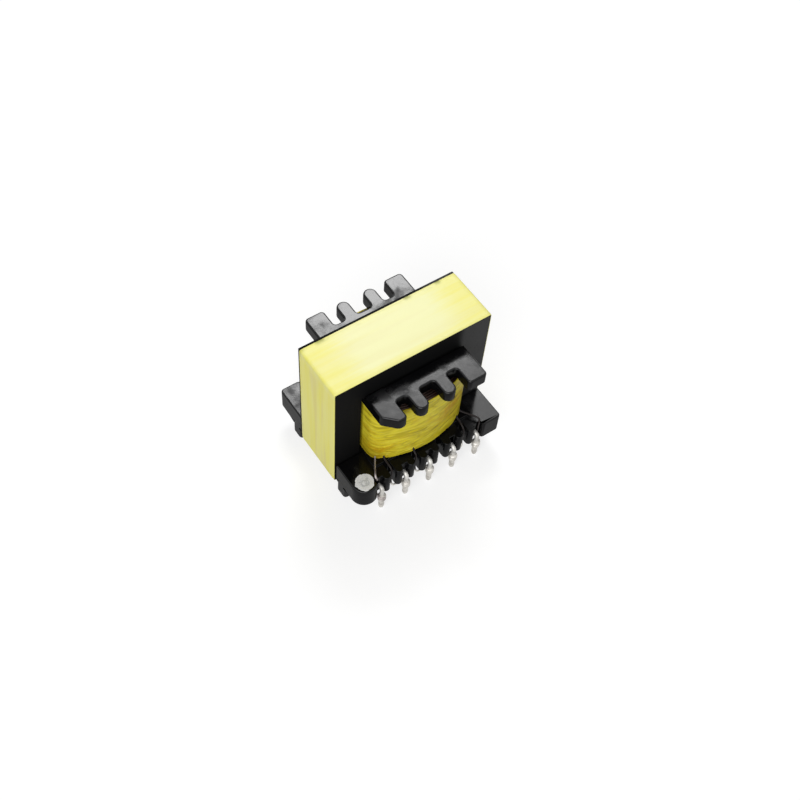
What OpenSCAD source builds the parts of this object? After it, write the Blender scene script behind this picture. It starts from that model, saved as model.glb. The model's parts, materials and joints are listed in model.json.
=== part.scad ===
// Power transformer: a ferrite E-I core on an upright bobbin with two rows of L-shaped pins.
// The front is towards -Y, up is +Z, and the pins' tips stand on Z = 0.

/* [Core] */
// Width of the centre leg
centre_w = 10; // [8:0.1:12]
// Width of each winding window
window_w = 5; // [4:0.1:6]
// Width of each outer leg
leg_w = 5; // [3.5:0.1:7]
// Height of the winding windows
window_h = 16; // [12:0.1:22]
// Depth of the core, front to back
core_d = 10.9; // [8:0.1:14]
// Thickness of the E piece's back
yoke_t = 4.8; // [3.5:0.1:7]
// Thickness of the I bar
bar_t = 4.8; // [3.5:0.1:7]
// Air gap ground into the centre leg
air_gap = 0.3; // [0.1:0.05:1]
// Height of the core's underside above the feet's
core_rise = 2.05; // [1:0.05:3]

/* [Core tape] */
// Distance from the tape's edges to the core's faces
tape_inset = 0.2; // [0.1:0.05:2]
// Thickness of its turns together
tape_t = 0.15; // [0.06:0.01:0.5]

/* [Bobbin] */
// Wall of the spool tube
tube_wall = 0.9; // [0.6:0.05:1.2]
// Room between the bobbin and the core on each side
core_clear = 0.2; // [0.1:0.05:0.5]
// Room between the core's backs and the flanges
seat_clear = 0.05; // [0.02:0.01:0.2]
// Room between the flanges and the outer legs
flange_clear = 0.35; // [0.1:0.05:1]
// Thickness of the lower flange
base_t = 0.8; // [0.5:0.05:1.5]
// Depth of the lower flange from the core opening to the wire slots
base_d = 3.95; // [3:0.05:5.5]
// Depth of the upper flange from the core opening to its notches
shelf_d = 3.25; // [2.5:0.05:4.5]
// Height of the upper flange's top above the core's underside there
shelf_rise = 0.85; // [0.3:0.05:1.2]
// Thickness of the upper flange's fingers
finger_t = 2.3; // [1.8:0.1:3.5]
// Length of the fingers from the notches out
finger_l = 3.6; // [2.5:0.1:4.5]
// Width of the narrow fingers
finger_w = 2.4; // [1.5:0.1:2.8]
// Width of the wide fingers
wing_w = 3.7; // [2.5:0.1:4.2]
// Corner radius of the wide fingers
wing_r = 0.7; // [0.2:0.1:1.2]
// Width of the notch beside a wide finger
notch_w = 2.1; // [1.5:0.1:2.5]
// Corner cut off beside the first pin
corner_cut = 2.15; // [1:0.05:2.6]

/* [Rails] */
// Height of a rail
rail_h = 4.3; // [3:0.1:6]
// How far a rail's top laps the lower flange
rail_lap = 0.3; // [0.2:0.05:0.5]
// Length of the comb teeth
tooth_l = 2.9; // [2.2:0.1:3.6]
// Depth of a pin groove from the rail's outer face
groove_d = 1; // [0.6:0.05:1.3]
// Room beside a pin in its groove
groove_room = 0.15; // [0.05:0.01:0.25]
// Width of an end block
block_w = 3.85; // [3:0.05:5]
// Corner radius of the end blocks and feet
block_r = 0.6; // [0.2:0.1:0.8]
// Room left beside an outer pin's lead
end_room = 0.19; // [0.05:0.01:0.4]
// Radius of the round boss at the first pin
boss_r = 2.4; // [1.8:0.1:2.6]
// How far the boss stands proud of the rail's outer face
boss_proud = 0.5; // [0:0.05:1]
// Width of a foot
foot_w = 1.8; // [1.7:0.1:3]
// Length of a foot
foot_l = 2.6; // [1.7:0.1:3.5]

/* [Pins] */
// Distance between neighbouring pins
pin_pitch = 5; // [4:0.1:6]
// Diameter of a pin
pin_d = 0.8; // [0.6:0.05:1]
// Length of a pin below the feet
pin_reach = 1.2; // [0.8:0.1:5]
// Bend radius of a pin's axis
pin_bend = 0.6; // [0.5:0.05:1]
// Straight length of a pin between its groove and the bend
pin_stub = 0.4; // [0.2:0.05:1]
// Height of a pin's level end above the rail's underside
pin_level = 1.9; // [1.3:0.1:2.2]
// Length of a pin held in the rail
pin_seat = 2.6; // [1.5:0.1:4]
// Room round a pin in its hole
pin_clear = 0.02; // [0.01:0.01:0.1]

/* [Coil] */
// Share of the copper that is the primary winding
primary_share = 0.5; // [0.3:0.05:0.7]
// Thickness of the tape between the windings
layer_t = 0.15; // [0.06:0.01:0.4]
// Thickness of the coil's outer tape
wrap_t = 0.3; // [0.1:0.05:0.6]
// Thickness of the coil at the front and back
coil_front = 4.2; // [3:0.1:5]
// Radius of the coil's bowed front and back
bow_r = 18.2; // [15:0.1:40]
// Corner radius of the coil
coil_r = 2.5; // [1.5:0.1:3]
// Room between the coil and the outer legs
coil_gap = 0.5; // [0.2:0.05:1]
// Room between the coil and the upper flange
coil_clear = 0.1; // [0.05:0.05:0.5]

/* [Leads] */
// Diameter of a lead
lead_d = 0.35; // [0.2:0.05:0.45]
// Turns of a lead round its pin
lead_turns = 2.5; // [1.5:0.5:3]
// Room between a lead and what it passes
lead_clear = 0.03; // [0.02:0.01:0.1]

/* [Polarity dot] */
// Width of the boss left bare round the paint dot
dot_margin = 0.75; // [0.4:0.05:1.2]
// How far the dot sits out from the boss's middle, endways
dot_out = 0.2; // [0:0.05:0.4]
// How far the dot sits towards the front of the boss's middle
dot_front = 0.35; // [0:0.05:0.4]
// Thickness of the paint
dot_t = 0.05; // [0.03:0.01:0.2]

/* [Hidden] */
$fn = 48;
over = 0.5;
row_pins = 5;

// Levels from the pins' tips up
foot_z = pin_reach;
core_z = foot_z + core_rise;
bar_top = core_z + bar_t;
yoke_z = bar_top + window_h;
core_top = yoke_z + yoke_t;
base_z = bar_top + seat_clear;
base_top = base_z + base_t;
rail_top = base_z + rail_lap;
rail_z = rail_top - rail_h;
pin_z = rail_z + pin_level;
plate_top = yoke_z - seat_clear;
shelf_top = yoke_z + shelf_rise;
finger_z = shelf_top - finger_t;
coil_top = finger_z - coil_clear;

// Half sizes across
window_x = centre_w / 2 + window_w;
core_x = window_x + leg_w;
flange_x = window_x - flange_clear;
hole_x = centre_w / 2 + core_clear;
tube_x = hole_x + tube_wall;
wing_x = flange_x - wing_w;
finger_x = wing_x - notch_w - finger_w / 2;
row_x = (row_pins - 1) / 2 * pin_pitch;
block_x = row_x + pin_d / 2 + lead_d + 2 * lead_clear + end_room;
rail_x = block_x + block_w;
boss_x = rail_x - boss_r;
tooth_w = pin_pitch / 2 - pin_d - 2 * groove_room;

// Half sizes front to back
hole_y = core_d / 2 + core_clear;
tube_y = hole_y + tube_wall;
notch_y = hole_y + shelf_d;
tip_y = notch_y + finger_l;
slot_y = hole_y + base_d;
rail_y = slot_y + tooth_l;
groove_y = rail_y - groove_d;
bend_y = groove_y + pin_stub;
row_y = bend_y + pin_bend;
boss_y = rail_y + boss_proud - boss_r;

// Build of the coil's side, from the tube outwards
coil_build = window_x - coil_gap - tube_x;
copper = coil_build - wrap_t - layer_t;
build_1 = copper * primary_share;
build_2 = build_1 + layer_t;
build_3 = coil_build - wrap_t;

// Plan of the coil once its side has grown to the given build
function plan_x(build) = tube_x + build;
function plan_y(build) = tube_y + coil_front * build / coil_build;
function plan_r(build) = coil_r * build / coil_build;
function bow_y(build) = plan_y(build) - bow_r;
function corner_x(build) = plan_x(build) - plan_r(build);
function corner_y(build) = bow_y(build) + sqrt(pow(bow_r - plan_r(build), 2) - pow(corner_x(build), 2));
function bow_x(build) = corner_x(build) * bow_r / (bow_r - plan_r(build));

// Point that lies off the coil's face at x, on the +X and +Y side
function bow_point(x, off) =
    let (s = x / bow_r)
    [0, bow_y(coil_build)] + (bow_r + off) * [s, sqrt(1 - s * s)];
function corner_point(x, off) =
    let (s = (x - corner_x(coil_build)) / coil_r)
    [corner_x(coil_build), corner_y(coil_build)] + (coil_r + off) * [s, sqrt(1 - s * s)];
function coil_point(x, off) = x < bow_x(coil_build) ? bow_point(x, off) : corner_point(x, off);

// A pin's place: along the front from the left, then back along the rear
function pin_side(i) = i <= row_pins ? -1 : 1;
function pin_x(i) = (i <= row_pins ? i - (row_pins + 1) / 2 : (3 * row_pins + 1) / 2 - i) * pin_pitch;

// A lead's way on the +Y side: beside an outer pin, or down the slot next to an inner one
wind_r = (pin_d + lead_d) / 2 + lead_clear;
under_z = rail_z - lead_d / 2 - lead_clear;
off_y = groove_y + lead_d / 2 + lead_clear;
drop_y = rail_y - tooth_w / 2 - lead_d;
helix_step = 30;
function is_outer(i) = abs(pin_x(i)) > row_x - pin_pitch / 2;
function lead_dir(i) = pin_x(i) > 0 ? 1 : -1;
function lead_x(i) = pin_x(i) + lead_dir(i) * (is_outer(i) ? wind_r + lead_clear : pin_pitch / 2);
function lead_start(i) =
    coil_point(min(abs(lead_x(i)), plan_x(coil_build) - 2 * lead_d), lead_d / 2 + lead_clear);

function start_route(i) = [
    [lead_dir(i) * lead_start(i)[0], lead_start(i)[1], base_top + 3 * lead_d],
    [lead_dir(i) * lead_start(i)[0], lead_start(i)[1], base_top + lead_d]
];

function outer_route(i) = [
    [lead_x(i), groove_y - lead_d, base_top + lead_d],
    [lead_x(i), off_y, rail_top + lead_d / 2],
    [lead_x(i), off_y, rail_top - lead_d],
    [lead_x(i), off_y, rail_z + lead_d],
    [pin_x(i) + lead_dir(i) * wind_r, row_y - lead_d, under_z + lead_d / 4]
];

function inner_route(i) = [
    [lead_x(i), drop_y, rail_top],
    [lead_x(i), drop_y, rail_z + 2 * lead_d],
    [lead_x(i) - lead_dir(i) * lead_d, row_y - wind_r, under_z],
    [pin_x(i) + lead_dir(i) * lead_d, row_y - wind_r, under_z]
];

// Turns round the pin, carried on from where the way meets it
function wind_from(i) = is_outer(i) ? (pin_x(i) > 0 ? 0 : 180) : -90;
function wind_way(i) = lead_dir(i) * (is_outer(i) ? 1 : -1);
function wind_route(i) = [
    for (a = [0 : helix_step : 360 * lead_turns])
        let (turn = wind_from(i) + wind_way(i) * a)
        [
            pin_x(i) + wind_r * cos(turn),
            row_y + wind_r * sin(turn),
            under_z - (lead_d + lead_clear) * a / 360
        ]
];

function lead_route(i) = concat(
    start_route(i),
    is_outer(i) ? outer_route(i) : inner_route(i),
    wind_route(i)
);

// Frames carried along a route, for a wire with eight sides
wire_sides = 8;
function unit(v) = v / norm(v);
function carry(n, t) = unit(n - (n * t) * t);
function tangents(p) = [
    for (k = [0 : len(p) - 1])
        unit(p[min(k + 1, len(p) - 1)] - p[max(k - 1, 0)])
];
function normals(t) = [
    for (
        k = 0, n = carry([1, 0.2, 0.4], t[0]);
        k < len(t);
        k = k + 1, n = k < len(t) ? carry(n, t[k]) : n
    )
        n
];
function wire_points(p, t, n) = [
    for (k = [0 : len(p) - 1], j = [0 : wire_sides - 1])
        let (a = 360 * j / wire_sides)
        p[k] + lead_d / 2 * (cos(a) * n[k] + sin(a) * cross(t[k], n[k]))
];
function wire_faces(rings) = concat(
    [[for (j = [0 : wire_sides - 1]) j]],
    [
        for (k = [0 : rings - 2], j = [0 : wire_sides - 1])
            let (a = k * wire_sides, b = (j + 1) % wire_sides)
            [a + j, a + wire_sides + j, a + wire_sides + b, a + b]
    ],
    [[for (j = [wire_sides - 1 : -1 : 0]) (rings - 1) * wire_sides + j]]
);

// What is drawn on the +Y side, or mirrored to the -Y side
module facing(side) {
    mirror([0, side < 0 ? 1 : 0, 0])
        children();
}

// What is drawn on the +X side, or mirrored to the -X side
module handed(side) {
    mirror([side < 0 ? 1 : 0, 0, 0])
        children();
}

module round_rect(w, d, r) {
    square([w - 2 * r, d], center = true);
    square([w, d - 2 * r], center = true);
    for (sx = [-1, 1], sy = [-1, 1])
        translate([sx * (w / 2 - r), sy * (d / 2 - r)])
            circle(r);
}

// Bar from (0, 0) outwards along +Y, with a round outer end
module tongue(w, l) {
    translate([-w / 2, 0])
        square([w, l - w / 2]);
    translate([0, l - w / 2])
        circle(w / 2);
}

// Bowed front and back, straight sides and round corners
module coil_plan(build) {
    intersection() {
        square([2 * bow_x(build), 2 * plan_y(build)], center = true);
        translate([0, bow_y(build)])
            circle(bow_r, $fn = 120);
        translate([0, -bow_y(build)])
            circle(bow_r, $fn = 120);
    }
    square([2 * plan_x(build), 2 * corner_y(build)], center = true);
    for (sx = [-1, 1], sy = [-1, 1])
        translate([sx * corner_x(build), sy * corner_y(build)])
            circle(plan_r(build));
}

module coil_layer(inner, outer) {
    translate([0, 0, base_top])
        linear_extrude(coil_top - base_top)
            difference() {
                coil_plan(outer);
                coil_plan(inner);
            }
}

module core_e() {
    color([0.17, 0.17, 0.18]) {
        translate([-core_x, -core_d / 2, yoke_z])
            cube([2 * core_x, core_d, yoke_t]);
        for (x = [-core_x, window_x])
            translate([x, -core_d / 2, bar_top])
                cube([leg_w, core_d, window_h + over]);
        translate([-centre_w / 2, -core_d / 2, bar_top + air_gap])
            cube([centre_w, core_d, window_h - air_gap + over]);
    }
}

module core_bar() {
    color([0.17, 0.17, 0.18])
        translate([-core_x, -core_d / 2, core_z])
            cube([2 * core_x, core_d, bar_t]);
}

module core_tape() {
    core_h = core_top - core_z;
    tape_w = core_d - 2 * tape_inset;
    color([0.93, 0.9, 0.45])
        translate([0, tape_w / 2, core_z + core_h / 2])
            rotate([90, 0, 0])
                linear_extrude(tape_w)
                    difference() {
                        round_rect(2 * (core_x + tape_t), core_h + 2 * tape_t, tape_t);
                        square([2 * core_x, core_h], center = true);
                    }
}

// Shelf and fingers on one side of the upper flange, outwards along +Y
module shelf_plan() {
    root_y = notch_y - 2 * wing_r;
    translate([-flange_x, hole_y])
        square([2 * flange_x, shelf_d]);
    for (s = [-1, 1]) {
        translate([s * finger_x, hole_y])
            tongue(finger_w, tip_y - hole_y);
        translate([s * (wing_x + wing_w / 2), (root_y + tip_y) / 2])
            round_rect(wing_w, tip_y - root_y, wing_r);
    }
}

// Corner that is cut off the upper flange beside the first pin
module corner_plan() {
    leg = corner_cut + 2 * over;
    translate([-flange_x - over, -tip_y - over])
        polygon([[0, 0], [leg, 0], [0, leg]]);
}

// Plan of one rail, outwards along +Y, without its end blocks
module comb_plan() {
    fill_w = (pin_pitch + tooth_w) / 2;
    translate([-rail_x, hole_y])
        square([2 * rail_x, base_d]);
    for (i = [1 : row_pins]) {
        for (s = [-1, 1])
            if (abs(pin_x(i) + s * pin_pitch / 4) < row_x)
                translate([pin_x(i) + s * pin_pitch / 4, hole_y])
                    tongue(tooth_w, rail_y - hole_y);
        translate([pin_x(i) - fill_w / 2, hole_y])
            square([fill_w, groove_y - hole_y]);
    }
}

// End block on the +X side of a rail, outwards along +Y
module block_plan() {
    translate([block_x + block_w / 2, (hole_y + rail_y) / 2])
        round_rect(block_w, rail_y - hole_y, block_r);
    translate([block_x, hole_y])
        square([block_w, base_d]);
}

// Round-ended block on the +X side of a rail, which carries the paint dot
module boss_plan() {
    intersection() {
        translate([boss_x, hole_y])
            tongue(2 * boss_r, boss_y + boss_r - hole_y);
        translate([block_x, hole_y])
            square([block_w, row_y + boss_r]);
    }
}

module foot_plan() {
    translate([rail_x - foot_w / 2, hole_y + core_clear + foot_l / 2])
        round_rect(foot_w, foot_l, block_r);
}

// One rail with its feet: side -1 is the front, and its left end is the boss
module rail(side) {
    facing(side) {
        translate([0, 0, rail_z])
            linear_extrude(rail_h) {
                comb_plan();
                block_plan();
                handed(-1)
                    if (side < 0)
                        boss_plan();
                    else
                        block_plan();
            }
        translate([0, 0, foot_z])
            linear_extrude(rail_z - foot_z + over)
                for (s = [-1, 1])
                    handed(s)
                        foot_plan();
    }
}

module bobbin() {
    color([0.06, 0.06, 0.065])
        difference() {
            union() {
                translate([0, 0, base_z])
                    linear_extrude(plate_top - base_z)
                        square([2 * tube_x, 2 * tube_y], center = true);
                translate([0, 0, base_z])
                    linear_extrude(base_t)
                        square([2 * flange_x, 2 * slot_y], center = true);
                translate([0, 0, finger_z])
                    linear_extrude(plate_top - finger_z)
                        square([2 * flange_x, 2 * notch_y], center = true);
                translate([0, 0, finger_z])
                    linear_extrude(finger_t)
                        difference() {
                            for (side = [-1, 1])
                                facing(side)
                                    shelf_plan();
                            corner_plan();
                        }
                rail(-1);
                rail(1);
            }
            translate([-hole_x, -hole_y, base_z - over])
                cube([2 * hole_x, 2 * hole_y, plate_top - base_z + 2 * over]);
            for (i = [1 : 2 * row_pins])
                translate([pin_x(i), pin_side(i) * groove_y, pin_z])
                    rotate([pin_side(i) * 90, 0, 0])
                        translate([0, 0, -over])
                            cylinder(h = pin_seat + over, d = pin_d + 2 * pin_clear);
        }
}

// L-shaped pin: level in the rail, then bent down to its tip
module pin(i) {
    color([0.78, 0.78, 0.76])
        translate([pin_x(i), 0, 0])
            facing(pin_side(i)) {
                translate([0, row_y, 0])
                    cylinder(h = pin_z - pin_bend, d = pin_d);
                translate([0, bend_y, pin_z - pin_bend])
                    rotate([90, 0, 90])
                        rotate_extrude(angle = 90)
                            translate([pin_bend, 0])
                                circle(d = pin_d);
                translate([0, bend_y, pin_z])
                    rotate([90, 0, 0])
                        cylinder(h = pin_stub + pin_seat, d = pin_d);
            }
}

module primary_winding() {
    color([0.62, 0.3, 0.13])
        translate([0, 0, base_top])
            linear_extrude(coil_top - base_top)
                difference() {
                    coil_plan(build_1);
                    square([2 * tube_x, 2 * tube_y], center = true);
                }
}

module layer_tape() {
    color([0.85, 0.78, 0.25])
        coil_layer(build_1, build_2);
}

module secondary_winding() {
    color([0.66, 0.33, 0.15])
        coil_layer(build_2, build_3);
}

module coil_tape() {
    color([0.8, 0.75, 0.2])
        coil_layer(build_3, coil_build);
}

// Tinned winding end, from the coil to its turns round the pin
module lead(i) {
    route = lead_route(i);
    along = tangents(route);
    color([0.76, 0.74, 0.7])
        facing(pin_side(i))
            polyhedron(wire_points(route, along, normals(along)), wire_faces(len(route)));
}

module polarity_dot() {
    color([0.93, 0.94, 0.9])
        translate([-boss_x - dot_out, -boss_y - dot_front, rail_top])
            cylinder(h = dot_t, r = boss_r - dot_margin);
}

bobbin();
core_e();
core_bar();
core_tape();
primary_winding();
layer_tape();
secondary_winding();
coil_tape();
pin(1);  // pin_1
pin(2);  // pin_2
pin(3);  // pin_3
pin(4);  // pin_4
pin(5);  // pin_5
pin(6);  // pin_6
pin(7);  // pin_7
pin(8);  // pin_8
pin(9);  // pin_9
pin(10);  // pin_10
lead(1);  // lead_1
lead(2);  // lead_2
lead(3);  // lead_3
lead(4);  // lead_4
lead(5);  // lead_5
lead(6);  // lead_6
lead(7);  // lead_7
lead(8);  // lead_8
lead(9);  // lead_9
lead(10);  // lead_10
polarity_dot();
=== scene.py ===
"""Dressed model of a taped ferrite power transformer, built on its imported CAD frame."""

import json
import logging
import math
from dataclasses import dataclass
from enum import Enum
from typing import Any, Callable, Optional, Sequence, Union

import bmesh
import bpy
from bpy.types import ID, Material, Node, NodeSocket, NodeTree, Object
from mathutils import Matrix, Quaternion, Vector, noise

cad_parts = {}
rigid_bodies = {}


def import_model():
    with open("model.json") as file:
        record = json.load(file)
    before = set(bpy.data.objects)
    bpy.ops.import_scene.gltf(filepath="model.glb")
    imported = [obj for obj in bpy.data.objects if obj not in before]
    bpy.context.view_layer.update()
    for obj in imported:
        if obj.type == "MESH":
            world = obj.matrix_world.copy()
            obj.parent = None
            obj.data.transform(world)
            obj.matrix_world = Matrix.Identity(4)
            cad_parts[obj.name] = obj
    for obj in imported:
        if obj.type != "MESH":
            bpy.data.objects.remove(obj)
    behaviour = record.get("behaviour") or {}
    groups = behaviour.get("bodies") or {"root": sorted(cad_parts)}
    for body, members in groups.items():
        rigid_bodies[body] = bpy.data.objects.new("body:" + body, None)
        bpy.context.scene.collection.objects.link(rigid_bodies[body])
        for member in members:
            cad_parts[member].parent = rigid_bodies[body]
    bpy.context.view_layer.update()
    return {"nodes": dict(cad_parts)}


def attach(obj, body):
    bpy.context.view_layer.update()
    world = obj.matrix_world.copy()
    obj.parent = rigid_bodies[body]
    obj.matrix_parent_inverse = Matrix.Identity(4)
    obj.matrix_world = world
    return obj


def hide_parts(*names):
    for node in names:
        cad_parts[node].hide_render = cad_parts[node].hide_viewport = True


LOG = logging.getLogger("transformer")
MM = 0.001
BODY = "root"

# Edges that meet at less than this are shaded as one surface
SMOOTH_ANGLE = math.radians(50)
# Edges of the CAD that meet at more than this are rounded
ROUND_ANGLE = math.radians(32)
# Faces of the CAD that meet at less than this are one face
FLAT_ANGLE = math.radians(0.5)
# Points of the CAD that are nearer than this are one point, in metres
WELD = 2e-6
# Rounding that a full bevel weight stands for, in millimetres
WIDEST = 0.5

Color = tuple[float, float, float]
Point = tuple[float, float, float]
Operand = Union["Value", float]
# Where a soft step starts and ends
Span = tuple[float, float]
# A point of an outline in its plane, with the two parts of its outward direction
Outline = tuple[float, float, float, float]


class Side(Enum):
    """The two pin rows, by the sign of their Y."""

    FRONT = -1
    BACK = 1


# Node trees


class Nodes:
    """Adds nodes to one node tree."""

    def __init__(self, tree: NodeTree) -> None:
        """Takes the tree that is filled."""
        self.tree = tree

    def node(self, kind: str, settings: Optional[dict[str, Any]] = None,
             sockets: Optional[dict[Union[str, int], Any]] = None) -> Node:
        """Adds a node of any type.

        Args:
            kind: the node's type name.
            settings: attributes, which are set first.
            sockets: values or links of its inputs, by name or number.

        Returns:
            The new node.
        """
        made = self.tree.nodes.new(kind)
        for key, value in (settings or {}).items():
            setattr(made, key, value)
        for key, value in (sockets or {}).items():
            self.put(made.inputs[key], value)
        return made

    def operate(self, operation: str, *operands: Any) -> NodeSocket:
        """Adds one Math node.

        Args:
            operation: the operation's name in Blender.
            operands: values or links of its inputs, in order.

        Returns:
            The node's result.
        """
        sockets = dict(enumerate(operands))
        return self.node("ShaderNodeMath", {"operation": operation}, sockets).outputs[0]

    def put(self, socket: NodeSocket, value: Any) -> None:
        """Sets or links one input socket."""
        if isinstance(value, Value):
            value = value.socket
        if isinstance(value, NodeSocket):
            self.tree.links.new(value, socket)
        elif socket.type == "RGBA":
            socket.default_value = (*value, 1.0)
        else:
            socket.default_value = value


class Value:
    """A number on a shader socket, with arithmetic that adds Math nodes."""

    def __init__(self, graph: "Graph", socket: NodeSocket) -> None:
        """Wraps one output socket of a graph."""
        self.graph = graph
        self.socket = socket

    def _math(self, operation: str, *operands: Operand) -> "Value":
        """Adds one Math node and wraps its result."""
        return Value(self.graph, self.graph.operate(operation, *operands))

    def __add__(self, other: Operand) -> "Value":
        """Sum."""
        return self._math("ADD", self, other)

    __radd__ = __add__

    def __sub__(self, other: Operand) -> "Value":
        """Difference."""
        return self._math("SUBTRACT", self, other)

    def __mul__(self, other: Operand) -> "Value":
        """Product."""
        return self._math("MULTIPLY", self, other)

    __rmul__ = __mul__

    def __pow__(self, other: float) -> "Value":
        """Power."""
        return self._math("POWER", self, other)

    def __abs__(self) -> "Value":
        """Size without its sign."""
        return self._math("ABSOLUTE", self)

    def capped(self) -> "Value":
        """The value, but no more than 1."""
        return self._math("MINIMUM", self, 1.0)

    def over(self, low: float, high: float) -> "Value":
        """Soft step from 0 at low to 1 at high, or the other way round where high is less."""
        flip = high < low
        ends = {"From Min": min(low, high), "From Max": max(low, high),
                "To Min": float(flip), "To Max": float(not flip)}
        node = self.graph.node("ShaderNodeMapRange", {"interpolation_type": "SMOOTHSTEP"},
                               {"Value": self, **ends})
        return Value(self.graph, node.outputs[0])


class Graph(Nodes):
    """Node tree of one material, read from Object coordinates in millimetres."""

    def __init__(self, name: str) -> None:
        """Starts an empty tree with its output, surface shader and coordinates."""
        self.material = bpy.data.materials.new(name)
        self.material.use_nodes = True
        super().__init__(self.material.node_tree)
        self.tree.nodes.clear()
        self.surface = self.node("ShaderNodeBsdfPrincipled")
        self.output = self.node("ShaderNodeOutputMaterial",
                                sockets={"Surface": self.surface.outputs[0]})
        given = self.node("ShaderNodeTexCoord").outputs
        scaled = self.node("ShaderNodeVectorMath", {"operation": "SCALE"},
                           {0: given["Object"], "Scale": 1 / MM})
        self.place = scaled.outputs[0]
        split = self.node("ShaderNodeSeparateXYZ", sockets={0: self.place})
        self.x, self.y, self.z = (Value(self, split.outputs[k]) for k in range(3))
        facing = self.node("ShaderNodeSeparateXYZ", sockets={0: given["Normal"]})
        self.up = Value(self, facing.outputs[2])

    def noise(self, scale: Union[float, Point], detail: float = 2.0, rough: float = 0.5,
              warp: float = 0.0, shift: float = 0.0) -> Value:
        """Fractal noise from 0 to 1.

        Args:
            scale: cells per millimetre, one number or one for each axis.
            detail: octaves.
            rough: strength of each further octave.
            warp: distortion.
            shift: number that picks another pattern.

        Returns:
            The noise value.
        """
        cells = (scale, scale, scale) if isinstance(scale, (int, float)) else scale
        place = self.node("ShaderNodeMapping", {"vector_type": "POINT"},
                          {"Vector": self.place, "Scale": cells})
        node = self.node("ShaderNodeTexNoise", {"noise_dimensions": "4D"},
                         {"Vector": place.outputs[0], "W": shift, "Scale": 1.0,
                          "Detail": detail, "Roughness": rough, "Distortion": warp})
        return Value(self, node.outputs[0])

    def mix(self, factor: Value, first: Any, second: Any) -> NodeSocket:
        """Colour between two others by a factor from 0 to 1."""
        # Inputs 6 and 7 and output 2 of this node are the ones for colours
        node = self.node("ShaderNodeMix", {"data_type": "RGBA", "clamp_factor": True},
                         {0: factor, 6: first, 7: second})
        return node.outputs[2]

    def away(self, x: float, y: float, z: Optional[float] = None) -> Value:
        """Distance from a place, or from the upright line there if no height is given."""
        squares = (self.x - x) ** 2 + (self.y - y) ** 2
        if z is not None:
            squares = squares + (self.z - z) ** 2
        return squares ** 0.5

    def relief(self, height: Value, depth: float, strength: float = 1.0) -> NodeSocket:
        """Bumped normal for a height from 0 to 1 that stands for depth millimetres."""
        sockets = {"Height": height, "Distance": depth * MM, "Strength": strength}
        return self.node("ShaderNodeBump", sockets=sockets).outputs[0]

    def finish(self, sockets: dict[str, Any], dull: Optional[Value] = None,
               matte: Color = (0.0, 0.0, 0.0)) -> Material:
        """Sets the surface shader's sockets and hands the material over.

        Args:
            sockets: values or links of the surface shader, by name.
            dull: share of a matt shader over the surface, from 0 to 1.
            matte: colour of that shader.

        Returns:
            The finished material.
        """
        for key, value in sockets.items():
            self.put(self.surface.inputs[key], value)
        if dull is not None:
            flat = self.node("ShaderNodeBsdfDiffuse", sockets={"Color": matte})
            shaders = {0: dull, 1: self.surface.outputs[0], 2: flat.outputs[0]}
            both = self.node("ShaderNodeMixShader", sockets=shaders)
            self.put(self.output.inputs["Surface"], both.outputs[0])
        return self.material


# Finishes


@dataclass(frozen=True)
class MouldedPlastic:
    """Glossy black thermoset with faint flow marks and a little dust, duller on its sides and on
    the level parts between the rails as painted shade.
    """

    slot: str = "bobbin_plastic"
    deep: Color = (0.003, 0.003, 0.0034)
    paler: Color = (0.011, 0.011, 0.012)
    roughness: float = 0.11
    spread: float = 0.34
    ior: float = 1.36
    # Share of matt black painted as shade on the sides and between the rails
    matt_shade: float = 0.68
    ring: Point = (-3.48, -8.26, 24.9)
    ring_r: float = 0.42
    shade_x: Span = (10.8, 10.2)
    shade_z: Span = (9.6, 9.0)

    def material(self) -> Material:
        """Builds the material."""
        g = Graph("black_moulding")
        flow = g.noise((0.25, 0.25, 0.5), 4.0, 0.55, 0.6)
        dust = g.noise(5.0, 3.0, 0.6, shift=3.0).over(0.56, 0.72)
        grain = g.noise(9.0, 2.0, 0.5, shift=1.0)
        haze = flow.over(0.42, 0.75)
        out = g.away(*self.ring[:2]) - self.ring_r
        mark = abs(out).over(0.13, 0.03) * abs(g.z - self.ring[2]).over(0.3, 0.1)
        # Painted shade: matt black over upright faces, and over the level faces between the rails
        # where the coil shades them
        sides = abs(g.up).over(0.8, 0.3) * self.matt_shade
        shade = abs(g.x).over(*self.shade_x)
        below = g.up.over(0.6, 0.9) * shade * g.z.over(*self.shade_z) * self.matt_shade
        return g.finish({
            "Base Color": g.mix(haze * 0.5 + dust * 0.35, self.deep, self.paler),
            "Roughness": self.roughness + self.spread * haze + dust * 0.1,
            "IOR": self.ior,
            "Normal": g.relief(grain * 0.5 + flow * 2.5 - mark * 3.0, 0.012, 0.5),
        }, sides + below, self.deep)


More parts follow.
